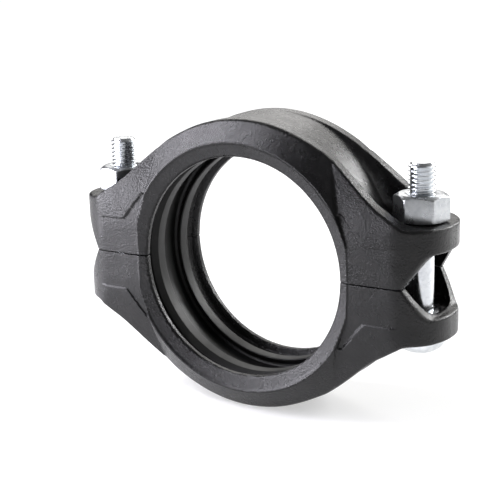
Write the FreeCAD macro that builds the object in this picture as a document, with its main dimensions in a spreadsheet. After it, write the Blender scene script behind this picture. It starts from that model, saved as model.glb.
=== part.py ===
# Grooved pipe coupling, parametric model. Millimetres, +Z up along the bolts,
# pipe axis along Y, +X through the right-hand bolt. The origin is the centre
# of the pipe bore, on the parting plane between the two cast halves.
import FreeCAD, Part
import Sketcher
import math
import os

doc = FreeCAD.newDocument("GroovedCoupling")
V = FreeCAD.Vector

# ---------------------------------------------------------------- dimensions
sheet = doc.addObject("Spreadsheet::Sheet", "Dims")
CELLS = [
    # pipe and key
    ("keyrad", 52.2, "inner radius of the key tips, in the pipe groove"),
    ("keyfront", 23.2, "front edge of a key tip, from the mid plane"),
    ("keyback", 20.4, "inboard edge of a key tip"),
    ("lipfront", 24.0, "end of the small step between tip and bevel"),
    ("liprad", 52.9, "radius of that step"),
    ("ridgerad", 59.2, "radius of the ridge round each mouth"),
    ("ridgefront", 26.7, "ridge, from the mid plane: half the width"),
    ("rimrad", 69.3, "outer radius of the rim"),
    ("rimfront", 19.6, "rim, from the mid plane"),
    ("cavrad", 61.0, "gasket pocket radius, upper half"),
    ("cavhalf", 16.2, "half the gasket pocket width"),
    ("cavmouth", 57.0, "radius where pocket side meets key flank"),
    ("flankrad", 55.6, "radius of the shoulder on the key flank"),
    ("flankfront", 19.4, "shoulder on the key flank, from mid plane"),
    # shell between the walls
    ("shellrad", 61.0, "radius of the cast shell between the walls"),
    ("shellup", 8.3, "centre of the shell arc above the bore axis"),
    ("pockettop", 12.4, "half the clear width between the walls over the bore"),
    ("pocketmid", 13.9, "half the clear width where the walls start to slope"),
    ("pocketend", 16.2, "half the clear width beside a nut"),
    ("pocketxa", 43.0, "where the first width ends"),
    ("pocketxb", 53.0, "where the second width is reached"),
    ("pocketxc", 67.0, "where the third width is reached"),
    ("pocketfil", 2.6, "fillet at the foot of the walls"),
    ("rimfil", 1.1, "rounding of the rim"),
    # ears
    ("earhalf", 25.8, "half width of an ear"),
    ("panelhalf", 25.2, "half width at the recessed side panels"),
    ("webhalf", 21.4, "inner face of the webs under a pad"),
    ("earend", 96.8, "end of an ear from the bore centre"),
    ("earround", 24.0, "plan rounding at the end of an ear"),
    ("seatup", 26.3, "nut seat above the parting plane"),
    ("padunder", 14.4, "underside of a pad above the parting plane"),
    ("apexout", 82.4, "end of the parting faces"),
    ("notchout", 89.6, "notch flank, outer point"),
    ("notchup", 11.2, "notch flank, height of that point"),
    ("notchoutb", 91.2, "blend of the notch flank, outer point"),
    ("notchupb", 13.3, "blend of the notch flank, height"),
    ("notchoutc", 92.4, "blend into the pad underside"),
    ("hollowin", 68.6, "inner wall of the hollow under a pad"),
    ("leanfrom", 27.5, "height where the ear face starts to lean back"),
    ("leanto", 51.4, "height where the leaning face meets the rim"),
    ("slopex", 82.9, "foot of the sloping wall edge on the pad"),
    ("slopexb", 53.2, "sloping wall edge, upper point"),
    ("slopeupb", 44.4, "sloping wall edge, height of that point"),
    ("facexa", 56.3, "ring to ear boundary at the parting plane"),
    ("faceupa", 16.6, "height where that boundary starts to slope"),
    ("facexb", 51.6, "boundary on the ridge"),
    ("faceupb", 29.8, "its height"),
    ("facexc", 47.0, "boundary on the rim"),
    ("faceupc", 50.9, "its height"),
    ("ledgex", 63.8, "corner of the side panel ledge"),
    ("ledgeup", 17.6, "height of the ledge"),
    ("ledgexb", 53.2, "top of the diagonal ledge"),
    ("ledgeupb", 31.2, "its height"),
    # bolts and nuts
    ("boltx", 80.94, "bolt axis from the bore centre"),
    ("boltrad", 6.30, "thread major radius"),
    ("shankrad", 5.95, "plain shank radius"),
    ("shanktop", 19.0, "where the thread starts"),
    ("bolttop", 52.5, "end of a bolt"),
    ("bolttip", 1.3, "chamfer at the bolt end"),
    ("headrad", 11.6, "radius of a bolt head"),
    ("headedge", 1.6, "straight edge of a head"),
    ("headhigh", 8.4, "height of a head"),
    ("necklong", 8.9, "half length of the oval neck, along X"),
    ("neckdeep", 11.4, "depth of the oval neck"),
    ("ovalgap", 0.0, "slack of the neck in its slot"),
    ("holerad", 7.1, "plain bolt hole radius"),
    ("nutflat", 11.11, "nut, centre to flat"),
    ("nuthigh", 12.3, "nut height"),
    ("nutbore", 6.36, "nut bore radius"),
    ("nutface", 10.5, "chamfer circle on a nut"),
    ("nutturnr", -13.4, "turn of the right nut, degrees"),
    ("nutturnl", 16.3, "turn of the left nut, degrees"),
    # gasket
    ("gaskrad", 60.7, "gasket outer radius"),
    ("gaskhalf", 15.9, "half the gasket width"),
    ("gasklip", 53.3, "radius of the sealing lips"),
    ("gasklipin", 6.0, "inboard edge of a lip"),
    ("gasklipout", 12.6, "outboard edge of the lip land"),
    ("gasktoe", 55.2, "radius at the gasket face"),
    ("gaskcav", 58.0, "radius of the gasket cavity"),
    ("gaskcavhalf", 8.2, "half width of that cavity"),
    ("gaskheel", 56.4, "cavity corner radius position"),
    ("gaskheelout", 9.4, "widest point of the cavity"),
]
NUM = {}
for i, (name, val, why) in enumerate(CELLS, start=1):
    sheet.set("A%d" % i, name)
    sheet.set("B%d" % i, str(val))
    sheet.set("C%d" % i, why)
    sheet.setAlias("B%d" % i, name)
    NUM[name] = val
doc.recompute()


class Q:
    """A number together with the sheet expression that gives it."""

    def __init__(self, v, e):
        self.v, self.e = v, e

    @staticmethod
    def of(a):
        return a if isinstance(a, Q) else Q(float(a), repr(float(a)))

    def __add__(self, o):
        o = Q.of(o)
        return Q(self.v + o.v, "(%s + %s)" % (self.e, o.e))

    def __sub__(self, o):
        o = Q.of(o)
        return Q(self.v - o.v, "(%s - %s)" % (self.e, o.e))

    def __mul__(self, o):
        o = Q.of(o)
        return Q(self.v * o.v, "(%s * %s)" % (self.e, o.e))

    def __neg__(self):
        return Q(-self.v, "(0 - %s)" % self.e)


def d(name):
    return Q(NUM[name], "Dims." + name)


def bind(obj, **props):
    for prop, q in props.items():
        q = Q.of(q)
        obj.setExpression(prop.replace("__", "."), q.e)
    return obj


# ------------------------------------------------------------ sketch helpers
def plane(body, role):
    for f in body.Origin.OriginFeatures:
        if f.Role == role:
            return f
    raise RuntimeError(role)


def new_body(name):
    b = doc.addObject("PartDesign::Body", name)
    b.Label = name
    return b


def new_sketch(body, role, name):
    sk = body.newObject("Sketcher::SketchObject", name)
    sk.AttachmentSupport = [(plane(body, role), "")]
    sk.MapMode = "FlatFace"
    doc.recompute()
    return sk


def loop(sk, pts):
    """Closed outline through pts; each point is two numbers bound to the sheet."""
    pts = [(Q.of(a), Q.of(b)) for a, b in pts]
    n = len(pts)
    first = sk.GeometryCount
    for i in range(n):
        a, b = pts[i], pts[(i + 1) % n]
        sk.addGeometry(Part.LineSegment(V(a[0].v, a[1].v, 0), V(b[0].v, b[1].v, 0)), False)
    for i in range(n):
        sk.addConstraint(Sketcher.Constraint("Coincident", first + i, 2, first + (i + 1) % n, 1))
    for i in range(n):
        g = first + i
        for kind, q in (("DistanceX", pts[i][0]), ("DistanceY", pts[i][1])):
            k = sk.addConstraint(Sketcher.Constraint(kind, -1, 1, g, 1, q.v))
            sk.setExpression("Constraints[%d]" % k, q.e)


def circle(sk, cx, cy, r):
    cx, cy, r = Q.of(cx), Q.of(cy), Q.of(r)
    g = sk.addGeometry(Part.Circle(V(cx.v, cy.v, 0), V(0, 0, 1), r.v), False)
    for kind, q in (("DistanceX", cx), ("DistanceY", cy)):
        k = sk.addConstraint(Sketcher.Constraint(kind, -1, 1, g, 3, q.v))
        sk.setExpression("Constraints[%d]" % k, q.e)
    k = sk.addConstraint(Sketcher.Constraint("Radius", g, r.v))
    sk.setExpression("Constraints[%d]" % k, r.e)


def pad(body, sk, name, length):
    p = body.newObject("PartDesign::Pad", name)
    p.Profile = sk
    p.Midplane = True
    bind(p, Length=length)
    body.Tip = p
    doc.recompute()
    return p


def revolve(body, sk, name, axis="H_Axis"):
    r = body.newObject("PartDesign::Revolution", name)
    r.Profile = sk
    r.ReferenceAxis = (sk, [axis])
    r.Angle = 360.0
    body.Tip = r
    doc.recompute()
    return r


def edges_where(shape, test):
    out = []
    for i, e in enumerate(shape.Edges, start=1):
        if test(e):
            out.append("Edge%d" % i)
    return out


def box(name, x0, x1, y0, y1, z0, z1):
    x0, x1, y0, y1, z0, z1 = [Q.of(q) for q in (x0, x1, y0, y1, z0, z1)]
    b = doc.addObject("Part::Box", name)
    bind(b, Length=x1 - x0, Width=y1 - y0, Height=z1 - z0)
    bind(b, Placement__Base__x=x0, Placement__Base__y=y0, Placement__Base__z=z0)
    return b


def boolean(kind, name, base, tool):
    o = doc.addObject("Part::" + kind, name)
    o.Base, o.Tool = base, tool
    doc.recompute()
    return o


def fuse(name, shapes):
    o = doc.addObject("Part::MultiFuse", name)
    o.Shapes = shapes
    doc.recompute()
    return o


def mirror(name, src, normal):
    o = doc.addObject("Part::Mirroring", name)
    o.Source = src
    o.Normal = normal
    doc.recompute()
    return o


# ------------------------------------------------------------- cast half ring
# Outer form of the ring: ridge round the mouth, cone out to the rim, rim.
ring = new_body("RingForm")
sk = new_sketch(ring, "YZ_Plane", "RingProfile")
loop(sk, [(-d("ridgefront"), 50), (-d("ridgefront"), d("ridgerad")),
          (-d("rimfront"), d("rimrad")), (d("rimfront"), d("rimrad")),
          (d("ridgefront"), d("ridgerad")), (d("ridgefront"), 50)])
turned = revolve(ring, sk, "RingTurn")
rnd = ring.newObject("PartDesign::Fillet", "RimRound")
rnd.Base = (turned, edges_where(turned.Shape, lambda e: len(e.Vertexes) > 0 and all(
    abs(abs(v.Y) - NUM["rimfront"]) < 0.01 for v in e.Vertexes) and abs(e.Length) > 100))
bind(rnd, Radius=d("rimfil"))
ring.Tip = rnd
doc.recompute()

# The ring stops at the ears, along the boundary seen on the front face.
sk = new_sketch(ring, "XZ_Plane", "RingEnds")
for s in (1.0, -1.0):
    loop(sk, [(d("facexa") * s, -80), (d("facexa") * s, d("faceupa")),
              (d("facexb") * s, d("faceupb")), (d("facexc") * s, d("faceupc")),
              (d("facexc") * s + 20 * s, 80), (120 * s, 80), (120 * s, -80)])
cut = ring.newObject("PartDesign::Pocket", "RingTrim")
cut.Profile = sk
cut.Midplane = True
bind(cut, Length=d("ridgefront") * 2 + 10)
ring.Tip = cut
doc.recompute()

# ------------------------------------------------------------------ one ear
ear = new_body("EarForm")
sk = new_sketch(ear, "XZ_Plane", "EarOutline")
loop(sk, [(d("facexa"), 0), (d("apexout"), 0), (d("notchout"), d("notchup")),
          (d("notchoutb"), d("notchupb")), (d("notchoutc"), d("padunder")),
          (d("earend"), d("padunder")), (d("earend"), d("seatup")),
          (d("slopex"), d("seatup")), (d("slopexb"), d("slopeupb")),
          (d("facexc"), d("faceupc")),
          (d("facexb"), d("faceupb")), (d("facexa"), d("faceupa"))])
block = pad(ear, sk, "EarBlock", d("earhalf") * 2)
rnd = ear.newObject("PartDesign::Fillet", "EarRound")
rnd.Base = (block, edges_where(block.Shape, lambda e: all(
    abs(v.X - NUM["earend"]) < 0.01 and abs(abs(v.Y) - NUM["earhalf"]) < 0.01 for v in e.Vertexes)
    and len(e.Vertexes) == 2 and abs(e.Vertexes[0].Z - e.Vertexes[1].Z) > 1))
bind(rnd, Radius=d("earround"))
ear.Tip = rnd
doc.recompute()
# The side faces lean back above the pads, up to the rim.
sk = new_sketch(ear, "YZ_Plane", "LeanOutline")
for s in (1.0, -1.0):
    loop(sk, [(d("earhalf") * s, d("leanfrom")), (d("rimfront") * s, d("leanto")),
              (d("rimfront") * s, 75), ((d("earhalf") + 8) * s, 75),
              ((d("earhalf") + 8) * s, d("leanfrom"))])
cut = ear.newObject("PartDesign::Pocket", "EarLean")
cut.Profile = sk
cut.Midplane = True
cut.Length = 260
ear.Tip = cut
doc.recompute()
# Hollow between the webs, where the bolt passes. Its end follows the rounded end of the
# ear, so the wall keeps its thickness.
hollow = new_body("HollowForm")
sk = new_sketch(hollow, "XY_Plane", "HollowPlan")
hollow_end = d("earend") - d("earhalf") + d("webhalf")
loop(sk, [(d("hollowin"), -d("webhalf")), (hollow_end, -d("webhalf")),
          (hollow_end, d("webhalf")), (d("hollowin"), d("webhalf"))])
block = pad(hollow, sk, "HollowBlock", 60)
end_x = NUM["earend"] - NUM["earhalf"] + NUM["webhalf"]
rnd = hollow.newObject("PartDesign::Fillet", "HollowRound")
rnd.Base = (block, edges_where(block.Shape, lambda e: all(
    abs(v.X - end_x) < 0.01 for v in e.Vertexes)
    and len(e.Vertexes) == 2 and abs(e.Vertexes[0].Z - e.Vertexes[1].Z) > 1))
bind(rnd, Radius=d("earround") - d("earhalf") + d("webhalf"))
hollow.Tip = rnd
hollow.setExpression("Placement.Base.z", (d("padunder") - 30.0).e)
doc.recompute()
ear_a = boolean("Cut", "EarHollowed", ear, hollow)
# Recessed panels on the two side faces, bounded by the ledge.
panel = new_body("PanelForm")
sk = new_sketch(panel, "XZ_Plane", "PanelOutline")
loop(sk, [(d("facexa") - 8, -5), (110, -5), (110, d("ledgeup")), (d("ledgex"), d("ledgeup")),
          (d("ledgexb"), d("ledgeupb")), (d("ledgexb") - 6, d("ledgeupb")), (d("facexa") - 8, d("faceupa"))])
pad(panel, sk, "PanelBlock", d("earhalf") * 2 + 8)
keep = box("PanelKeep", 0, 130, -d("panelhalf"), d("panelhalf"), -20, 60)
panel_tool = boolean("Cut", "PanelTool", panel, keep)
ear_r = boolean("Cut", "EarRight", ear_a, panel_tool)
ear_l = mirror("EarLeft", ear_r, V(1, 0, 0))

# ------------------------------------------------- shell and pocket, one half
rough = fuse("RingAndEars", [ring, ear_r, ear_l])
pocket = new_body("PocketTool")
sk = new_sketch(pocket, "XY_Plane", "PocketPlan")
plan = [(d("pocketxa"), d("pockettop")), (d("pocketxb"), d("pocketmid")), (d("pocketxc"), d("pocketend")), (120, d("pocketend"))]
plan = [(Q.of(a), Q.of(b)) for a, b in plan]
loop(sk, [(a, -b) for a, b in plan] + [(a, b) for a, b in reversed(plan)]
     + [(-a, b) for a, b in plan] + [(-a, -b) for a, b in reversed(plan)])
block = pad(pocket, sk, "PocketBlock", 120)
foot = pocket.newObject("PartDesign::Fillet", "PocketFoot")
foot.Base = (block, edges_where(block.Shape, lambda e: all(
    abs(v.Z + 60.0) < 0.01 for v in e.Vertexes) and len(e.Vertexes) == 2
    and abs(e.Vertexes[0].X - e.Vertexes[1].X) > 1.0))
bind(foot, Radius=d("pocketfil"))
pocket.Tip = foot
pocket.setExpression("Placement.Base.z", (d("seatup") + 60.0).e)
doc.recompute()
rough_a = boolean("Cut", "WallsOnly", rough, pocket)
shell = new_body("ShellForm")
sk = new_sketch(shell, "XZ_Plane", "ShellArc")
circle(sk, 0, d("shellup"), d("shellrad"))
pad(shell, sk, "ShellPad", d("rimfront") * 2 - 0.6)
rough_b = fuse("WallsAndShell", [rough_a, shell])
below = box("BelowTool", -130, 130, -60, 60, -130, 0)
half = boolean("Cut", "HalfSolid", rough_b, below)


def bore_tool(name, cavity):
    """Everything inside the ring: bore, key tips, bevels and gasket pocket."""
    b = new_body(name)
    s = new_sketch(b, "YZ_Plane", name + "Profile")
    run = d("ridgerad") - d("liprad")
    out = [(-d("ridgefront") - 3, d("ridgerad") + run),
           (-d("ridgefront"), d("ridgerad")), (-d("lipfront"), d("liprad")),
           (-d("keyfront"), d("keyrad")), (-d("keyback"), d("keyrad")),
           (-d("flankfront"), d("flankrad")), (-d("cavhalf"), d("cavmouth")),
           (-d("cavhalf"), cavity)]
    pts = [(-d("ridgefront") - 3, 0)] + out + [(-a, r) for a, r in reversed(out)] + [(d("ridgefront") + 3, 0)]
    loop(s, pts)
    revolve(b, s, name + "Turn")
    return b


upper_raw = boolean("Cut", "UpperBored", half, bore_tool("BoreUpper", d("cavrad")))
lower_half = mirror("LowerHalf", half, V(0, 0, 1))
lower_raw = boolean("Cut", "LowerBored", lower_half, bore_tool("BoreLower", d("gaskrad")))


def cylinder(name, x, z0, z1, r):
    x, z0, z1 = Q.of(x), Q.of(z0), Q.of(z1)
    c = doc.addObject("Part::Cylinder", name)
    bind(c, Radius=r, Height=z1 - z0, Placement__Base__x=x, Placement__Base__z=z0)
    return c


def slot_body(name, x, half_len, r, z0, z1):
    """Oval column: two cylinders and the block between them."""
    x, half_len, r = Q.of(x), Q.of(half_len), Q.of(r)
    a = cylinder(name + "A", x - half_len + r, z0, z1, r)
    b = cylinder(name + "B", x + half_len - r, z0, z1, r)
    m = box(name + "M", x - half_len + r, x + half_len - r, -r, r, z0, z1)
    return fuse(name, [a, b, m])


holes = fuse("UpperHoles", [cylinder("HoleRight", d("boltx"), 10, 40, d("holerad")),
                            cylinder("HoleLeft", -d("boltx"), 10, 40, d("holerad"))])
upper = boolean("Cut", "upper_housing", upper_raw, holes)
upper.Label = "upper_housing"
slots = fuse("LowerSlots", [
    slot_body("SlotRight", d("boltx"), d("necklong") + d("ovalgap"), d("boltrad") + d("ovalgap"), -40, -10),
    slot_body("SlotLeft", -d("boltx"), d("necklong") + d("ovalgap"), d("boltrad") + d("ovalgap"), -40, -10)])
lower = boolean("Cut", "lower_housing", lower_raw, slots)
lower.Label = "lower_housing"

# -------------------------------------------------------------------- gasket
gasket = new_body("gasket")
sk = new_sketch(gasket, "YZ_Plane", "GasketSection")
side = [(-d("gasklipin"), d("gasklip")), (-d("gasklipout"), d("gasklip")),
        (-d("gaskhalf"), d("gasktoe")), (-d("gaskhalf"), d("gaskrad"))]
core = [(-d("gaskheelout"), d("gaskheel")), (-d("gaskcavhalf"), d("gaskcav"))]
loop(sk, side + [(-a, r) for a, r in reversed(side)]
     + [(-a, r) for a, r in core] + [(a, r) for a, r in reversed(core)])
revolve(gasket, sk, "GasketTurn")


# ------------------------------------------------------------ bolts and nuts
def bolt(label, x):
    b = new_body(label + "_turned")
    s = new_sketch(b, "XZ_Plane", label + "_profile")
    seat = -d("seatup")
    pts = [(0, seat - d("headhigh")), (d("headrad") * 0.38, seat - d("headhigh") * 0.94),
           (d("headrad") * 0.70, seat - d("headhigh") * 0.74), (d("headrad") * 0.92, seat - d("headhigh") * 0.44),
           (d("headrad"), seat - d("headedge")), (d("headrad"), seat),
           (d("shankrad"), seat), (d("shankrad"), d("shanktop")), (d("boltrad"), d("shanktop") + 0.6),
           (d("boltrad"), d("bolttop") - d("bolttip")), (d("boltrad") - d("bolttip"), d("bolttop")), (0, d("bolttop"))]
    loop(s, pts)
    revolve(b, s, label + "_turn", "V_Axis")
    b.setExpression("Placement.Base.x", Q.of(x).e)
    neck = slot_body(label + "_neck", x, d("necklong"), d("boltrad"), seat, seat + d("neckdeep"))
    o = fuse(label, [b, neck])
    o.Label = label
    return o


bolt_right = bolt("bolt_right", d("boltx"))
bolt_left = bolt("bolt_left", -d("boltx"))


def nut(label, x, turn):
    hexa = doc.addObject("Part::Prism", label + "_hex")
    hexa.Polygon = 6
    bind(hexa, Circumradius=d("nutflat") * 1.1547005, Height=d("nuthigh"))
    bind(hexa, Placement__Base__x=x, Placement__Base__z=d("seatup"))
    hexa.setExpression("Placement.Rotation.Angle", "(%s) * 1 deg" % (turn + 30.0).e)
    crown = new_body(label + "_crown")
    s = new_sketch(crown, "XZ_Plane", label + "_crown_profile")
    top = d("seatup") + d("nuthigh")
    loop(s, [(0, d("seatup")), (d("nutface"), d("seatup")), (d("nutface") + 2.6, d("seatup") + 1.1),
             (d("nutface") + 2.6, top - 1.4), (d("nutface") - 0.2, top), (0, top)])
    revolve(crown, s, label + "_crown_turn", "V_Axis")
    crown.setExpression("Placement.Base.x", Q.of(x).e)
    solid = boolean("Common", label + "_solid", hexa, crown)
    o = boolean("Cut", label, solid, cylinder(label + "_bore", x, 20, 45, d("nutbore")))
    o.Label = label
    return o


nut_right = nut("nut_right", d("boltx"), d("nutturnr"))
nut_left = nut("nut_left", -d("boltx"), d("nutturnl"))

# ------------------------------------------------------------ check and write
doc.recompute()
for o in doc.Objects:
    state = list(getattr(o, "State", []))
    if "Invalid" in state or "Error" in state:
        raise RuntimeError("%s: %s" % (o.Name, state))
    if hasattr(o, "Shape") and not o.isDerivedFrom("App::OriginFeature"):
        if o.TypeId.startswith("Sketcher"):
            continue
        if o.Shape.isNull() or not o.Shape.isValid():
            raise RuntimeError("bad shape: " + o.Name)

os.makedirs("parts", exist_ok=True)
for o in (upper, lower, gasket, bolt_right, bolt_left, nut_right, nut_left):
    o.Shape.exportStep("parts/%s.step" % o.Label)
    print(o.Label, round(o.Shape.Volume / 1000.0, 2), "cm3", len(o.Shape.Solids), "solid", o.Shape.BoundBox)
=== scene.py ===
import math

import bmesh
import bpy
import numpy as np
from mathutils import Matrix, Vector


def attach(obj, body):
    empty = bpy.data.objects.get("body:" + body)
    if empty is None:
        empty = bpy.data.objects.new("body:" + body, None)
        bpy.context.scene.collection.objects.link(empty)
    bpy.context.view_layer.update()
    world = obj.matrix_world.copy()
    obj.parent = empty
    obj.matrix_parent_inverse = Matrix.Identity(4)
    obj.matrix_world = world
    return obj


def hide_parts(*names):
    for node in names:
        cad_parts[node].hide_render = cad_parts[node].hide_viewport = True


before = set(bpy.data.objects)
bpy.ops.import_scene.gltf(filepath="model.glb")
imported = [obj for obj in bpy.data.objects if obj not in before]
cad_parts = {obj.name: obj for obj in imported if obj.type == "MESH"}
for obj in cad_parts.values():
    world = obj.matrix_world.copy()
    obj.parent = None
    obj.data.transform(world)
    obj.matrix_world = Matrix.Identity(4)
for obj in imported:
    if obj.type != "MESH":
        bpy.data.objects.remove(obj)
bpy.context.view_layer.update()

MM = 0.001

# The sizes below are in millimetres, in the row frame: X through the bolts,
# Y along the pipe, Z up. Each housing is mapped on |x|, |y| and, for the lower
# one, on -z, because the castings are alike on all sides of those planes.
KEYRAD, KEYFRONT, KEYBACK = 52.2, 23.2, 20.4
LIPRAD, LIPFRONT = 52.9, 24.0
RIDGERAD, RIDGEFRONT = 59.2, 26.7
RIMRAD, RIMFRONT = 69.3, 19.6
FLANKRAD, FLANKFRONT = 55.6, 19.4
CAVMOUTH, CAVHALF = 57.0, 16.2
SHELLRAD, SHELLUP = 61.0, 8.3
EARHALF, PANELDEEP, WEBHALF = 25.8, 0.75, 21.4
EAREND, EARROUND = 96.8, 24.0
SEATUP, PADUNDER = 26.3, 14.4
HOLLOWIN = 68.6
BOLTX, HOLERAD = 80.94, 7.1
GASKRAD = 60.7


# ------------------------------------------------------- distance functions
def soften(points, radii, steps=5):
    """A closed outline with its corners rounded to the given radii."""
    n = len(points)
    out = []
    for i in range(n):
        p = np.array(points[i], float)
        a = np.array(points[i - 1], float) - p
        b = np.array(points[(i + 1) % n], float) - p
        la, lb = np.linalg.norm(a), np.linalg.norm(b)
        a, b = a / la, b / lb
        r = radii[i] if isinstance(radii, (list, tuple)) else radii
        cos = float(np.clip(np.dot(a, b), -1, 1))
        half = math.acos(cos) / 2
        if r <= 0 or half > math.pi / 2 - 0.01:
            out.append(p)
            continue
        cut = min(r / math.tan(half), la * 0.48, lb * 0.48)
        r = cut * math.tan(half)
        mid = (a + b) / np.linalg.norm(a + b)
        c = p + mid * (r / math.sin(half))
        s, e = p + a * cut - c, p + b * cut - c
        ang = math.atan2(s[0] * e[1] - s[1] * e[0], s[0] * e[0] + s[1] * e[1])
        for k in range(steps + 1):
            t = ang * k / steps
            out.append(c + np.array([s[0] * math.cos(t) - s[1] * math.sin(t),
                                     s[0] * math.sin(t) + s[1] * math.cos(t)]))
    return [tuple(q) for q in out]


def outline(px, py, poly):
    """Signed distance to a closed outline, negative inside."""
    px, py = np.broadcast_arrays(px, py)
    best = np.full(px.shape, 1e9)
    sign = np.ones(px.shape)
    j = len(poly) - 1
    for i in range(len(poly)):
        (ax, ay), (bx, by) = poly[i], poly[j]
        ex, ey = bx - ax, by - ay
        wx, wy = px - ax, py - ay
        t = np.clip((wx * ex + wy * ey) / (ex * ex + ey * ey + 1e-12), 0, 1)
        dx, dy = wx - ex * t, wy - ey * t
        best = np.minimum(best, dx * dx + dy * dy)
        c1, c2, c3 = py >= ay, py < by, ex * wy > ey * wx
        sign = np.where((c1 & c2 & c3) | (~c1 & ~c2 & ~c3), -sign, sign)
        j = i
    return sign * np.sqrt(best)


def both(a, b, r):
    """Intersection with a rounded edge."""
    ua, ub = np.maximum(a + r, 0), np.maximum(b + r, 0)
    return np.minimum(-r, np.maximum(a, b)) + np.sqrt(ua * ua + ub * ub)


def either(a, b, r):
    """Union with a fillet."""
    ua, ub = np.maximum(r - a, 0), np.maximum(r - b, 0)
    return np.maximum(r, np.minimum(a, b)) - np.sqrt(ua * ua + ub * ub)


def ease(x, lo, hi):
    t = np.clip((x - lo) / (hi - lo), 0, 1)
    return t * t * (3 - 2 * t)


# Outline of an ear from the front, and the line where the ring meets it.
EAR = soften(
    [(20, -9), (82.3, -9), (82.3, 0), (89.6, 11.2), (91.2, 13.3), (92.9, PADUNDER), (120, PADUNDER),
     (120, SEATUP), (82.9, SEATUP), (53.2, 44.4), (40.0, 52.6), (20, 58)],
    [0, 0, 1.2, 4.0, 2.5, 2.5, 0, 0, 7.0, 6.0, 4.0, 0])
BOUNDARY = soften([(-20, -80), (56.3, -80), (56.3, 16.6), (51.6, 29.8), (47.0, 50.9), (62.0, 84), (-20, 84)],
                  [0, 0, 8.0, 6.0, 0, 0, 0])
# Field of the recessed side panel, inside its ledge.
PANEL = soften([(40, -20), (120, -20), (120, 17.6), (64.3, 17.6), (53.4, 31.0), (44, 31.0)],
               [0, 0, 0, 2.4, 2.0, 0])


# The void inside the ring: bevel, key tip, key flank, gasket pocket.
def bore_outline(cavity):
    return soften(
        [(-20, -5), (RIDGEFRONT + 3, -5), (RIDGEFRONT + 3, RIDGERAD + 3.3), (RIDGEFRONT, RIDGERAD),
         (RIDGEFRONT - 0.95, RIDGERAD - 1.05), (LIPFRONT + 0.15, LIPRAD + 0.6), (LIPFRONT, LIPRAD),
         (KEYFRONT, KEYRAD), (KEYBACK, KEYRAD), (FLANKFRONT, FLANKRAD), (CAVHALF, CAVMOUTH),
         (CAVHALF, cavity), (-20, cavity)],
        [0, 0, 0, 0, 0.9, 0.5, 0, 0.5, 1.1, 1.0, 0.7, 1.6, 0], steps=3)


BORE_UPPER, BORE_LOWER = bore_outline(61.0), bore_outline(GASKRAD)
POCKET_X = [0, 43, 53, 67, 130]
POCKET_W = [12.4, 12.4, 13.9, 16.2, 16.2]


def housing(x, y, z, lower):
    """Signed distance, in mm, to one cast half; arrays that broadcast together."""
    ax, ay = np.abs(x), np.abs(y)
    if lower:
        z = -z
    r = np.sqrt(ax * ax + z * z)
    ring2 = r - RIMRAD
    ear2 = outline(ax, z, EAR)
    side = either(ring2, ear2, 9.0)
    # How far out the side face lies, over the XZ plane.
    edge = outline(ax, z, BOUNDARY)
    over = ease(edge, -0.75, 0.75)
    ring_y = RIDGEFRONT - np.maximum(r - RIDGERAD, 0) * (RIDGEFRONT - RIMFRONT) / (RIMRAD - RIDGERAD)
    lean = EARHALF - (z - 27.5) * 0.2594
    k = 4.0
    h = np.maximum(k - np.abs(lean - EARHALF), 0) / k
    ear_y = np.minimum(lean, EARHALF) - h * h * k * 0.25
    panel = outline(ax, z, PANEL)
    ear_y = ear_y - PANELDEEP * (1 - ease(panel, -0.34, 0.40))
    front = ring_y * (1 - over) + ear_y * over
    slope = 1.22 * (1 - over) + 1.03 * over
    face = (ay - front) / slope
    cx = EAREND - EARROUND
    qx, qy = ax - cx, ay - (EARHALF - EARROUND)
    plan = np.where(qy > 0, np.sqrt(np.maximum(qx, 0) ** 2 + np.maximum(qy, 0) ** 2) - EARROUND, qx - EARROUND)
    plan = np.where(qx > 0, plan, ay - EARHALF + 0.1 * qx)
    f = both(side, both(face, plan, 0.6), 1.35)
    # The trough between the walls: over the shell, over the nut seats.
    shell = np.sqrt(ax * ax + (z - SHELLUP) ** 2) - SHELLRAD
    half = np.interp(ax, POCKET_X, POCKET_W)
    depth = np.clip(RIMRAD - (shell + SHELLRAD), 0, 12)
    foot = np.clip(1.3 + 0.42 * np.clip(62 - z, 0, 8), 1.3, 4.6)
    trough = both(both(-shell, SEATUP - z, 4.5), ay - half, foot)
    f = both(f, -trough, 0.95)
    # Hollow between the webs, bore, bolt hole, parting face. The webs keep their
    # thickness round the end of the ear.
    web = np.sqrt(np.maximum(qx, 0) ** 2 + np.maximum(qy, 0) ** 2) - (EARROUND - EARHALF + WEBHALF)
    web = np.where((qx > 0) & (qy <= 0), qx - (EARROUND - EARHALF + WEBHALF), web)
    web = np.where((qx <= 0), ay - WEBHALF, web)
    hollow = both(both(HOLLOWIN - ax, web, 2.2), z - PADUNDER, 2.0)
    f = both(f, -hollow, 0.9)
    f = both(f, -outline(ay, r, BORE_LOWER if lower else BORE_UPPER), 0.65)
    if lower:
        ox = np.maximum(np.abs(ax - BOLTX) - 2.6, 0)
        hole = np.sqrt(ox * ox + ay * ay) - 6.35
    else:
        hole = np.sqrt((ax - BOLTX) ** 2 + ay * ay) - HOLERAD
    f = both(f, -np.maximum(hole, 12 - z), 0.6)
    return both(f, 0.03 - z, 0.34)


def lattice(ix, iy, iz, seed):
    with np.errstate(over="ignore"):
        n = (ix.astype(np.uint32) * np.uint32(73856093)) ^ (iy.astype(np.uint32) * np.uint32(19349663))
        n ^= (iz.astype(np.uint32) * np.uint32(83492791)) ^ np.uint32((seed * 2654435761) & 0xFFFFFFFF)
        n ^= n >> np.uint32(13)
        n = n * np.uint32(1274126177)
        n ^= n >> np.uint32(16)
    return n


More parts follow.
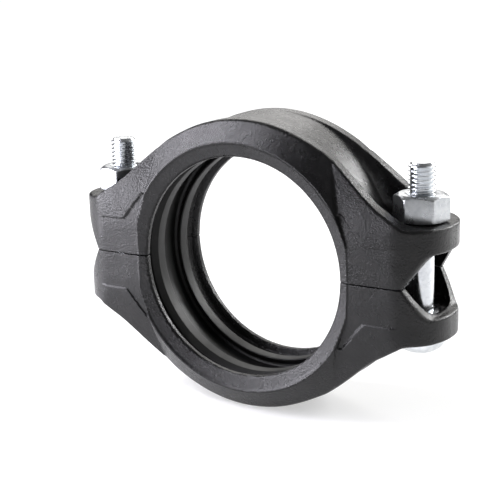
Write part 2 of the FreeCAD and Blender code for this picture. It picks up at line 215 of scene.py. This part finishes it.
def grain(x, y, z, seed):
    """Gradient noise, about -1 to 1, on a unit lattice."""
    fx, fy, fz = np.floor(x), np.floor(y), np.floor(z)
    ux, uy, uz = x - fx, y - fy, z - fz
    ix, iy, iz = fx.astype(np.int64) + 4096, fy.astype(np.int64) + 4096, fz.astype(np.int64) + 4096
    sx, sy, sz = [t * t * t * (t * (t * 6 - 15) + 10) for t in (ux, uy, uz)]
    total = np.zeros(x.shape)
    for a in (0, 1):
        for b in (0, 1):
            for c in (0, 1):
                n = lattice(ix + a, iy + b, iz + c, seed)
                gx = (n & np.uint32(1023)).astype(float) / 511.5 - 1
                gy = ((n >> np.uint32(10)) & np.uint32(1023)).astype(float) / 511.5 - 1
                gz = ((n >> np.uint32(20)) & np.uint32(1023)).astype(float) / 511.5 - 1
                w = (sx if a else 1 - sx) * (sy if b else 1 - sy) * (sz if c else 1 - sz)
                total += w * (gx * (ux - a) + gy * (uy - b) + gz * (uz - c))
    return total * 1.5


def sand(x, y, z, seed):
    """Relief of the sand casting, in mm; calmer inside the ring."""
    r = np.sqrt(x * x + z * z)
    calm = 0.35 + 0.65 * ease(r, 54.0, 60.5)
    patch = 0.55 + 0.9 * ease(grain(x / 17.0, y / 17.0, z / 17.0, seed + 5), -0.15, 0.45)
    big = grain(x / 11.0, y / 11.0, z / 11.0, seed) * 0.10
    mid = grain(x / 3.4, y / 3.4, z / 3.4, seed + 1) * 0.010
    fine = grain(x / 1.7, y / 1.7, z / 1.7, seed + 2)
    pits = np.minimum(fine + 0.35, 0) * 0.010
    return (big + (mid + fine * 0.003 + pits) * patch) * calm


def surface_net(f, lo, h):
    """Quads round the zero level of a sampled field: (points, quads)."""
    inside = f < 0
    cells = tuple(s - 1 for s in f.shape)
    number = np.full(int(np.prod(cells)), -1, np.int64)
    total = np.zeros((number.size, 3))
    count = np.zeros(number.size)
    quads = []
    for axis in range(3):
        a, b = [slice(None)] * 3, [slice(None)] * 3
        a[axis], b[axis] = slice(0, -1), slice(1, None)
        a, b = tuple(a), tuple(b)
        at = np.argwhere(inside[a] != inside[b])
        f0, f1 = f[a][tuple(at.T)], f[b][tuple(at.T)]
        pos = at.astype(float)
        pos[:, axis] += f0 / (f0 - f1)
        u, v = (axis + 1) % 3, (axis + 2) % 3
        ids = []
        ok = np.ones(len(at), bool)
        for du, dv in ((-1, -1), (0, -1), (0, 0), (-1, 0)):
            c = at.copy()
            c[:, u] += du
            c[:, v] += dv
            good = np.all((c >= 0) & (c < np.array(cells)), axis=1)
            ok &= good
            flat = np.ravel_multi_index(tuple(np.clip(c, 0, np.array(cells) - 1).T), cells)
            ids.append(flat)
            for k in range(3):
                total[:, k] += np.bincount(flat[good], pos[good, k], number.size)
            count += np.bincount(flat[good], minlength=number.size)
        quad = np.stack(ids, 1)[ok]
        flip = inside[a][tuple(at.T)][ok]
        quad[~flip] = quad[~flip][:, ::-1]
        quads.append(quad)
    used = np.flatnonzero(count)
    number[used] = np.arange(used.size)
    points = total[used] / count[used][:, None] * h + np.array(lo)
    return points, number[np.concatenate(quads)]


def to_level(fn, p, steps, eps=0.04):
    """Moves points onto the zero level of fn; returns points and normals."""
    n = None
    for k in range(steps + 1):
        f0 = fn(p[:, 0], p[:, 1], p[:, 2])
        g = np.stack([(fn(p[:, 0] + eps, p[:, 1], p[:, 2]) - f0) / eps,
                      (fn(p[:, 0], p[:, 1] + eps, p[:, 2]) - f0) / eps,
                      (fn(p[:, 0], p[:, 1], p[:, 2] + eps) - f0) / eps], 1)
        ln = np.linalg.norm(g, axis=1)
        ln[ln < 1e-6] = 1
        n = g / ln[:, None]
        if k < steps:
            p = p - n * np.clip(f0 / np.maximum(ln, 0.4), -0.5, 0.5)[:, None]
    return p, n


def mesh_object(name, points_mm, faces, material, body, normals=None, smooth=True):
    mesh = bpy.data.meshes.new(name)
    mesh.from_pydata((np.asarray(points_mm) * MM).tolist(), [], [tuple(int(i) for i in q) for q in faces])
    mesh.validate(clean_customdata=False)
    if smooth:
        mesh.polygons.foreach_set("use_smooth", [True] * len(mesh.polygons))
    mesh.materials.append(material)
    mesh.update()
    if normals is not None and len(normals) == len(mesh.vertices):
        mesh.normals_split_custom_set_from_vertices(np.asarray(normals).tolist())
    ob = bpy.data.objects.new(name, mesh)
    bpy.context.scene.collection.objects.link(ob)
    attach(ob, body)
    return ob


# ----------------------------------------------------------------- materials
def new_material(name):
    m = bpy.data.materials.new(name)
    m.use_nodes = True
    nt = m.node_tree
    nt.nodes.clear()
    out = nt.nodes.new("ShaderNodeOutputMaterial")
    bsdf = nt.nodes.new("ShaderNodeBsdfPrincipled")
    nt.links.new(bsdf.outputs[0], out.inputs[0])
    return m, nt, bsdf


def node(nt, kind, **values):
    n = nt.nodes.new(kind)
    for k, v in values.items():
        if k in n.inputs.keys():
            n.inputs[k].default_value = v
        else:
            setattr(n, k, v)
    return n


def noise(nt, scale, detail=3.0, rough=0.5, distortion=0.0):
    coord = nt.nodes.get("Object place")
    if coord is None:
        coord = nt.nodes.new("ShaderNodeTexCoord")
        coord.name = "Object place"
    n = node(nt, "ShaderNodeTexNoise", Scale=scale, Detail=detail, Roughness=rough, Distortion=distortion)
    nt.links.new(coord.outputs["Object"], n.inputs["Vector"])
    return n


def ramp(nt, source, stops):
    r = nt.nodes.new("ShaderNodeValToRGB")
    els = r.color_ramp.elements
    while len(els) > 1:
        els.remove(els[-1])
    els[0].position, els[0].color = stops[0][0], stops[0][1]
    for pos, col in stops[1:]:
        e = els.new(pos)
        e.color = col
    nt.links.new(source, r.inputs["Fac"])
    return r


def grey(v, tint=(1, 1, 1)):
    return (v * tint[0], v * tint[1], v * tint[2], 1)


def remap(nt, source, lo, hi, to_lo, to_hi):
    m = nt.nodes.new("ShaderNodeMapRange")
    m.inputs["From Min"].default_value = lo
    m.inputs["From Max"].default_value = hi
    m.inputs["To Min"].default_value = to_lo
    m.inputs["To Max"].default_value = to_hi
    nt.links.new(source, m.inputs["Value"])
    return m


def bumps(nt, bsdf, layers):
    """Chains bump nodes; each layer is (height socket, strength, distance in m)."""
    last = None
    for src, strength, dist in layers:
        b = node(nt, "ShaderNodeBump", Strength=strength, Distance=dist)
        nt.links.new(src, b.inputs["Height"])
        if last is not None:
            nt.links.new(last.outputs[0], b.inputs["Normal"])
        last = b
    nt.links.new(last.outputs[0], bsdf.inputs["Normal"])


def paint_material():
    """Semi-gloss black paint on a rough casting."""
    m, nt, b = new_material("cast_black_paint")
    b.inputs["Metallic"].default_value = 0.0
    b.inputs["IOR"].default_value = 1.52
    b.inputs["Specular IOR Level"].default_value = 0.36
    tone = noise(nt, 160.0, 5.0, 0.6)
    col = ramp(nt, tone.outputs["Fac"], [(0.30, grey(0.0045, (1.0, 0.98, 1.04))), (0.55, grey(0.0075, (1.0, 0.98, 1.03))),
                                         (0.78, grey(0.015, (1.05, 0.99, 0.97)))])
    nt.links.new(col.outputs["Color"], b.inputs["Base Color"])
    cloud = noise(nt, 75.0, 4.0, 0.55)
    rough = remap(nt, cloud.outputs["Fac"], 0.3, 0.7, 0.21, 0.34)
    nt.links.new(rough.outputs["Result"], b.inputs["Roughness"])
    g1 = noise(nt, 1050.0, 3.0, 0.60)
    g2 = noise(nt, 2000.0, 2.0, 0.5)
    g3 = noise(nt, 520.0, 2.0, 0.5)
    bumps(nt, b, [(g3.outputs["Fac"], 0.50, 0.00012), (g1.outputs["Fac"], 1.00, 0.00024), (g2.outputs["Fac"], 0.90, 0.00012)])
    return m


def zinc_material(name, bright, rough_lo, rough_hi, draw=False):
    """Bright zinc plate, faintly blue, with a fine crystalline mottle."""
    m, nt, b = new_material(name)
    b.inputs["Metallic"].default_value = 1.0
    tone = noise(nt, 420.0, 4.0, 0.6)
    col = ramp(nt, tone.outputs["Fac"], [(0.30, grey(bright * 0.86, (0.95, 0.985, 1.03))), (0.55, grey(bright, (0.96, 0.99, 1.02))),
                                         (0.80, grey(bright * 1.06, (0.985, 1.0, 1.01)))])
    nt.links.new(col.outputs["Color"], b.inputs["Base Color"])
    cloud = noise(nt, 240.0, 3.0, 0.5)
    rough = remap(nt, cloud.outputs["Fac"], 0.3, 0.7, rough_lo, rough_hi)
    nt.links.new(rough.outputs["Result"], b.inputs["Roughness"])
    g1 = noise(nt, 900.0, 3.0, 0.55)
    g2 = noise(nt, 330.0, 2.0, 0.5)
    bumps(nt, b, [(g2.outputs["Fac"], 0.16, 0.00012), (g1.outputs["Fac"], 0.14, 0.00003)])
    return m


def rubber_material():
    """Moulded black rubber with a faint bloom."""
    m, nt, b = new_material("moulded_rubber")
    b.inputs["IOR"].default_value = 1.5
    b.inputs["Specular IOR Level"].default_value = 0.30
    tone = noise(nt, 110.0, 4.0, 0.6)
    col = ramp(nt, tone.outputs["Fac"], [(0.30, grey(0.006, (1.0, 1.0, 0.98))), (0.60, grey(0.010, (1.0, 1.0, 0.97))),
                                         (0.80, grey(0.017, (1.0, 1.0, 0.94)))])
    nt.links.new(col.outputs["Color"], b.inputs["Base Color"])
    cloud = noise(nt, 60.0, 4.0, 0.6)
    rough = remap(nt, cloud.outputs["Fac"], 0.3, 0.7, 0.42, 0.58)
    nt.links.new(rough.outputs["Result"], b.inputs["Roughness"])
    g1 = noise(nt, 1100.0, 2.0, 0.5)
    g2 = noise(nt, 180.0, 2.0, 0.5)
    bumps(nt, b, [(g2.outputs["Fac"], 0.18, 0.00020), (g1.outputs["Fac"], 0.18, 0.00003)])
    return m


PAINT = paint_material()
ZINC = zinc_material("zinc_plate", 0.78, 0.16, 0.28)
ZINC_NUT = zinc_material("zinc_plate_nut", 0.50, 0.24, 0.36)
RUBBER = rubber_material()


# -------------------------------------------------------------------- pieces
def build_housing(name, lower, node_name, body, seed):
    h = 0.8
    # One quarter is sampled, then mirrored over x and y.
    xs = (np.arange(int(98.4 / h) + 2) + 0.5) * h
    ys = (np.arange(int(27.6 / h) + 2) + 0.5) * h
    lo, hi = (-70.6, 0.8) if lower else (-0.8, 70.6)
    zs = np.arange(lo, hi + h, h) + 0.037
    X, Y, Z = xs[:, None, None], ys[None, :, None], zs[None, None, :]
    f = housing(X, Y, Z, lower)
    f = np.concatenate([f[::-1], f], 0)
    f = np.concatenate([f[:, ::-1], f], 1)
    p, quads = surface_net(f, (-xs[-1], -ys[-1], zs[0]), h)

    def level(x, y, z):
        return housing(x, y, z, lower) + sand(x, y, z, seed) + 0.12

    def smooth_level(x, y, z):
        return housing(x, y, z, lower) + 0.12

    p, n = to_level(smooth_level, p, 2)
    # The relief moves points along the normal, less on the parting face.
    keep = ease(np.abs(p[:, 2]), 0.2, 2.0)
    rest = p.copy()
    amount = -sand(p[:, 0], p[:, 1], p[:, 2], seed) * keep
    eps = 0.05
    grads = []
    for k in range(3):
        q = rest.copy()
        q[:, k] += eps
        grads.append((-sand(q[:, 0], q[:, 1], q[:, 2], seed) * keep - amount) / eps)
    grads = np.stack(grads, 1)
    across = grads - n * np.sum(grads * n, 1, keepdims=True)
    p = rest + n * amount[:, None]
    n = n - across
    n /= np.linalg.norm(n, axis=1, keepdims=True)
    ob = mesh_object(name, p, quads, PAINT, body, normals=n)
    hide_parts(node_name)
    return ob


def turned(name, profile, material, body, at=(0, 0, 0), axis="Z", sides=128, closed=False, replaces=None):
    """A solid of revolution; profile is (radius, height) in mm."""
    pts, faces = [], []
    n = len(profile)
    rows = []
    for r, hgt in profile:
        if r < 1e-6:
            rows.append([len(pts)])
            pts.append((0, 0, hgt))
        else:
            rows.append(list(range(len(pts), len(pts) + sides)))
            for k in range(sides):
                t = 2 * math.pi * k / sides
                pts.append((r * math.cos(t), r * math.sin(t), hgt))
    last = n if closed else n - 1
    for i in range(last):
        a, b = rows[i], rows[(i + 1) % n]
        for k in range(sides):
            k2 = (k + 1) % sides
            if len(a) == 1:
                faces.append((a[0], b[k2], b[k]))
            elif len(b) == 1:
                faces.append((a[k], a[k2], b[0]))
            else:
                faces.append((a[k], a[k2], b[k2], b[k]))
    pts = np.array(pts, float)
    if axis == "Y":
        pts = np.stack([pts[:, 0], pts[:, 2], -pts[:, 1]], 1)
    pts = pts + np.array(at)
    ob = mesh_object(name, pts, faces, material, body)
    fix_normals(ob)
    if replaces:
        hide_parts(*replaces)
    return ob


def fix_normals(ob, merge=None):
    bm = bmesh.new()
    bm.from_mesh(ob.data)
    if merge:
        bmesh.ops.remove_doubles(bm, verts=bm.verts, dist=merge)
        bmesh.ops.dissolve_degenerate(bm, edges=bm.edges, dist=merge)
    bmesh.ops.recalc_face_normals(bm, faces=bm.faces)
    bm.to_mesh(ob.data)
    bm.free()
    ob.data.polygons.foreach_set("use_smooth", [True] * len(ob.data.polygons))
    ob.data.update()


def build_gasket():
    """The moulded ring, in the space that its solid holds."""
    lips = [(-15.9, 60.6), (-15.9, 55.2), (-12.6, 53.3), (-6.0, 53.3), (-9.4, 56.4), (-8.2, 58.0)]
    prof = lips + [(-y, r) for y, r in reversed(lips)]
    radii = [0.5, 0.7, 0.9, 0.55, 1.3, 1.0]
    prof = soften(prof, radii + radii[::-1], steps=6)
    ob = turned("gasket_ring", [(r, y) for y, r in prof], RUBBER, "base", axis="Y", sides=288,
                closed=True, replaces=["gasket"])
    return ob


PITCH = 1.954


def thread_profile(t):
    """Radius of a rolled thread against the fraction of a pitch."""
    t = np.abs(np.mod(t, 1.0) - 0.5) * 2  # 1 at a root, 0 at a crest
    shape = np.clip((t - 0.14) / 0.70, 0, 1)
    return 6.26 - 1.08 * ease(shape, 0, 1) * 0.35 - 1.08 * shape * 0.65


def build_bolt(name, x, node_name):
    sides = 96
    per = 12
    z0, top = 17.4, 52.5
    turns = int(math.ceil((top - z0) / PITCH)) + 2
    rows = turns * per
    pts = []
    cols = []
    for j in range(sides + 1):
        a = 2 * math.pi * j / sides
        z = z0 - PITCH + (np.arange(rows + 1) / per + j / sides) * PITCH
        phase = np.arange(rows + 1) / per
        r = thread_profile(phase)
        plain = 5.95
        begin = ease(z, 18.6, 21.2)
        r = plain * (1 - begin) + r * begin
        lead = top - 1.55
        r = np.where(z > lead, np.minimum(r, 6.26 - (z - lead) * 0.86), r)
        zc = np.clip(z, z0, top)
        r = np.where(z < z0, plain, r)
        rt = 6.26 - (top - lead) * 0.86
        r = np.where(z > top, np.minimum(rt, thread_profile(phase) * 0 + rt), r)
        cols.append(len(pts))
        for rr, zz in zip(r, zc):
            pts.append((x + rr * math.cos(a), rr * math.sin(a), zz))
    faces = []
    for j in range(sides):
        for k in range(rows):
            a, b = cols[j] + k, cols[j + 1] + k
            faces.append((a, b, b + 1, a + 1))
    # Flat end with a small rounded land.
    base = len(pts)
    rt = 6.26 - 1.55 * 0.86
    rings = [(rt - 0.35, top - 0.0), (rt * 0.5, top - 0.0)]
    tops = [cols[j] + rows for j in range(sides)]
    prev = tops
    for rr, zz in rings:
        cur = []
        for j in range(sides):
            a = 2 * math.pi * j / sides
            cur.append(len(pts))
            pts.append((x + rr * math.cos(a), rr * math.sin(a), zz))
        for j in range(sides):
            faces.append((prev[j], prev[(j + 1) % sides], cur[(j + 1) % sides], cur[j]))
        prev = cur
    pts.append((x, 0, top))
    for j in range(sides):
        faces.append((prev[j], prev[(j + 1) % sides], len(pts) - 1))
    # Shank down to the oval neck, then the neck and the domed head.
    bottom = [cols[j] for j in range(sides)]
    prev = bottom
    for zz in (4.0, -6.0, -14.5):
        cur = []
        for j in range(sides):
            a = 2 * math.pi * j / sides
            cur.append(len(pts))
            pts.append((x + 5.95 * math.cos(a), 5.95 * math.sin(a), zz))
        for j in range(sides):
            faces.append((prev[j], cur[j], cur[(j + 1) % sides], prev[(j + 1) % sides]))
        prev = cur
    neck = []
    for zz, grow in ((-14.9, -0.25), (-15.3, 0.0), (-26.3, 0.0)):
        cur = []
        for j in range(sides):
            a = 2 * math.pi * j / sides
            c, s = math.cos(a), math.sin(a)
            shift = 2.6 if c > 0 else -2.6
            if abs(c) < 1e-9:
                shift = 0.0
            rr = 6.28 + grow
            cur.append(len(pts))
            pts.append((x + rr * c + shift * min(1.0, abs(c) * 6), rr * s, zz))
        for j in range(sides):
            faces.append((prev[j], cur[j], cur[(j + 1) % sides], prev[(j + 1) % sides]))
        prev = cur
    head = [(11.1, -26.3), (11.45, -26.45), (11.6, -26.85), (11.6, -27.6)]
    for k in range(1, 11):
        t = math.pi / 2 * k / 10
        head.append((11.6 * math.cos(t) ** 0.92 if k < 10 else 0.0, -27.6 - 7.1 * math.sin(t)))
    for rr, zz in head[:-1]:
        cur = []
        for j in range(sides):
            a = 2 * math.pi * j / sides
            cur.append(len(pts))
            pts.append((x + rr * math.cos(a), rr * math.sin(a), zz))
        for j in range(sides):
            faces.append((prev[j], cur[j], cur[(j + 1) % sides], prev[(j + 1) % sides]))
        prev = cur
    pts.append((x, 0, head[-1][1]))
    for j in range(sides):
        faces.append((prev[j], len(pts) - 1, prev[(j + 1) % sides]))
    ob = mesh_object(name, pts, faces, ZINC, "base")
    fix_normals(ob, merge=2e-6)
    split_sharp(ob, 38)
    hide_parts(node_name)
    return ob


def split_sharp(ob, degrees):
    """Marks the edges that are sharper than this as sharp."""
    bm = bmesh.new()
    bm.from_mesh(ob.data)
    lim = math.radians(degrees)
    for e in bm.edges:
        if len(e.link_faces) == 2 and e.calc_face_angle(0.0) > lim:
            e.smooth = False
    bm.to_mesh(ob.data)
    bm.free()
    ob.data.update()


def build_nut(name, x, turn, node_name, body):
    flat, high, z0 = 11.11, 12.3, SEATUP
    sides = 192
    top = z0 + high
    land = 10.15

    def hexrad(a):
        t = math.radians(turn) + a
        t = (t + math.pi / 6) % (math.pi / 3) - math.pi / 6
        # Corners keep a small radius.
        full = flat / math.cos(t)
        return min(full, 12.62)

    pts, rows = [], []

    def ring(fn):
        rows.append(list(range(len(pts), len(pts) + sides)))
        for j in range(sides):
            a = 2 * math.pi * j / sides
            r, z = fn(a)
            pts.append((x + r * math.cos(a), r * math.sin(a), z))

    tan = math.tan(math.radians(30))
    ring(lambda a: (6.37, z0 + 1.1))
    ring(lambda a: (6.37, top - 1.0))
    ring(lambda a: (7.25, top - 0.12))
    ring(lambda a: (7.5, top))
    ring(lambda a: (land - 0.3, top))
    ring(lambda a: (land, top - 0.05))
    for k in (0.35, 0.75):
        ring(lambda a, k=k: (land + (hexrad(a) - land) * k, top - 0.05 - (hexrad(a) - land) * k * tan))
    ring(lambda a: (hexrad(a) - 0.22, top - 0.05 - (hexrad(a) - 0.22 - land) * tan))
    ring(lambda a: (hexrad(a) - 0.04, top - 0.14 - (hexrad(a) - land) * tan))
    ring(lambda a: (hexrad(a), top - 0.42 - (hexrad(a) - land) * tan))
    ring(lambda a: (hexrad(a), z0 + high * 0.5))
    low = 10.55
    ring(lambda a: (hexrad(a), z0 + 0.40 + (hexrad(a) - low) * tan * 0.6))
    ring(lambda a: (hexrad(a) - 0.04, z0 + 0.16 + (hexrad(a) - low) * tan * 0.6))
    ring(lambda a: (hexrad(a) - 0.25, z0 + 0.06 + (hexrad(a) - low) * tan * 0.6))
    ring(lambda a: (low, z0 + 0.03))
    ring(lambda a: (low - 0.3, z0))
    ring(lambda a: (7.5, z0))
    ring(lambda a: (7.25, z0 + 0.12))
    faces = []
    for i in range(len(rows)):
        a, b = rows[i], rows[(i + 1) % len(rows)]
        for j in range(sides):
            j2 = (j + 1) % sides
            faces.append((a[j], a[j2], b[j2], b[j]))
    ob = mesh_object(name, pts, faces, ZINC_NUT, body)
    fix_normals(ob)
    split_sharp(ob, 20)
    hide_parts(node_name)
    return ob


build_housing("upper_casting", False, "upper_housing", "upper", 11)
build_housing("lower_casting", True, "lower_housing", "base", 37)
build_gasket()
build_bolt("bolt_right_threaded", BOLTX, "bolt_right")
build_bolt("bolt_left_threaded", -BOLTX, "bolt_left")
build_nut("nut_right_hex", BOLTX, 13.4, "nut_right", "right_nut")
build_nut("nut_left_hex", -BOLTX, -16.3, "nut_left", "left_nut")


# ----------------------------------------------------- floor, light, camera
floor_mesh = bpy.data.meshes.new("floor")
s = 14.0
zf = -RIMRAD * MM
floor_mesh.from_pydata([(-s, -s, zf), (s, -s, zf), (s, s, zf), (-s, s, zf)], [], [(0, 1, 2, 3)])
floor = bpy.data.objects.new("floor", floor_mesh)
bpy.context.scene.collection.objects.link(floor)
fm, fnt, fb = new_material("pale_floor")
fb.inputs["Base Color"].default_value = (0.56, 0.56, 0.56, 1)
fb.inputs["Roughness"].default_value = 0.75
fb.inputs["Specular IOR Level"].default_value = 0.2
# The floor glows like a lit table, most behind the object.
fb.inputs["Emission Color"].default_value = (1, 1, 1, 1)
fco = fnt.nodes.new("ShaderNodeTexCoord")
fsep = fnt.nodes.new("ShaderNodeSeparateXYZ")
fnt.links.new(fco.outputs["Object"], fsep.inputs[0])
fmap = remap(fnt, fsep.outputs["Y"], 0.05, 0.90, 0.50, 0.94)
fmap.interpolation_type = "SMOOTHSTEP"
fnt.links.new(fmap.outputs[0], fb.inputs["Emission Strength"])
floor_mesh.materials.append(fm)

world = bpy.data.worlds.new("studio")
bpy.context.scene.world = world
world.use_nodes = True
wnt = world.node_tree
wnt.nodes.clear()
wout = wnt.nodes.new("ShaderNodeOutputWorld")
wbg = wnt.nodes.new("ShaderNodeBackground")
wnt.links.new(wbg.outputs[0], wout.inputs[0])
wco = wnt.nodes.new("ShaderNodeTexCoord")
wsep = wnt.nodes.new("ShaderNodeSeparateXYZ")
wnt.links.new(wco.outputs["Generated"], wsep.inputs[0])
wmap = wnt.nodes.new("ShaderNodeMapRange")
wmap.interpolation_type = "SMOOTHSTEP"
wmap.inputs["From Min"].default_value = -0.55
wmap.inputs["From Max"].default_value = 0.35
wmap.inputs["To Min"].default_value = 0.10
wmap.inputs["To Max"].default_value = 0.20
wnt.links.new(wsep.outputs["Y"], wmap.inputs["Value"])
wnt.links.new(wmap.outputs[0], wbg.inputs["Strength"])
wbg.inputs["Color"].default_value = (1.0, 1.0, 1.0, 1)


def area(name, at, look, size, power, color=(1, 1, 1)):
    li = bpy.data.lights.new(name, "AREA")
    li.shape = "RECTANGLE"
    li.size, li.size_y = size
    li.energy = power
    li.color = color
    ob = bpy.data.objects.new(name, li)
    ob.location = at
    ob.rotation_euler = (Vector(look) - Vector(at)).to_track_quat("-Z", "Y").to_euler()
    ob.visible_camera = False
    bpy.context.scene.collection.objects.link(ob)
    return ob


COOL, WARM = (1.0, 0.985, 1.07), (1.0, 0.985, 0.965)
area("softbox_front", (-0.277, -0.387, 0.05), (0, 0, 0.2), (0.17, 0.17), 0.70, COOL)
area("softbox_low", (-0.390, -0.240, 0.05), (0, 0, 0.2), (0.17, 0.17), 1.85, COOL)
area("softbox_left", (-0.503, -0.093, 0.29), (0, 0, 0), (0.17, 0.34), 2.00, COOL)
area("softbox_high", (-0.300, -0.280, 0.45), (0, 0, 0), (0.17, 0.17), 2.25, COOL)
area("softbox_back_left", (-0.357, 0.596, 0.397), (0, 0, 0), (0.42, 0.42), 1.35, WARM)
area("softbox_back", (0.02, 0.64, 0.475), (0, 0, 0), (0.42, 0.42), 1.30, WARM)
area("softbox_back_right", (0.345, 0.650, 0.310), (0, 0, 0), (0.25, 0.25), 4.80)
area("softbox_right", (0.675, 0.357, 0.238), (0, 0, 0), (0.42, 0.42), 1.35)

psi, e, dist, roll = math.radians(31.4541491), math.radians(14.46493096), 609.355, math.radians(-1.34583749)
back = Vector((math.sin(psi) * math.cos(e), -math.cos(psi) * math.cos(e), math.sin(e)))
right = (-back).cross(Vector((0, 0, 1))).normalized()
up = right.cross(-back)
r2 = right * math.cos(roll) + up * math.sin(roll)
u2 = -right * math.sin(roll) + up * math.cos(roll)
loc = back * dist + right * -6.9802 + up * 3.4027
cam_data = bpy.data.cameras.new("photo_camera")
cam_data.sensor_width = 36.0
cam_data.sensor_fit = "HORIZONTAL"
cam_data.lens = 1271.664 * 36.0 / 500.0
cam_data.clip_start = 0.01
cam_data.clip_end = 60.0
cam = bpy.data.objects.new("photo_camera", cam_data)
bpy.context.scene.collection.objects.link(cam)
cam.matrix_world = Matrix((
    (r2.x, u2.x, back.x, loc.x * MM),
    (r2.y, u2.y, back.y, loc.y * MM),
    (r2.z, u2.z, back.z, loc.z * MM),
    (0, 0, 0, 1)))
bpy.context.scene.camera = cam
bpy.context.scene.view_settings.view_transform = "Standard"
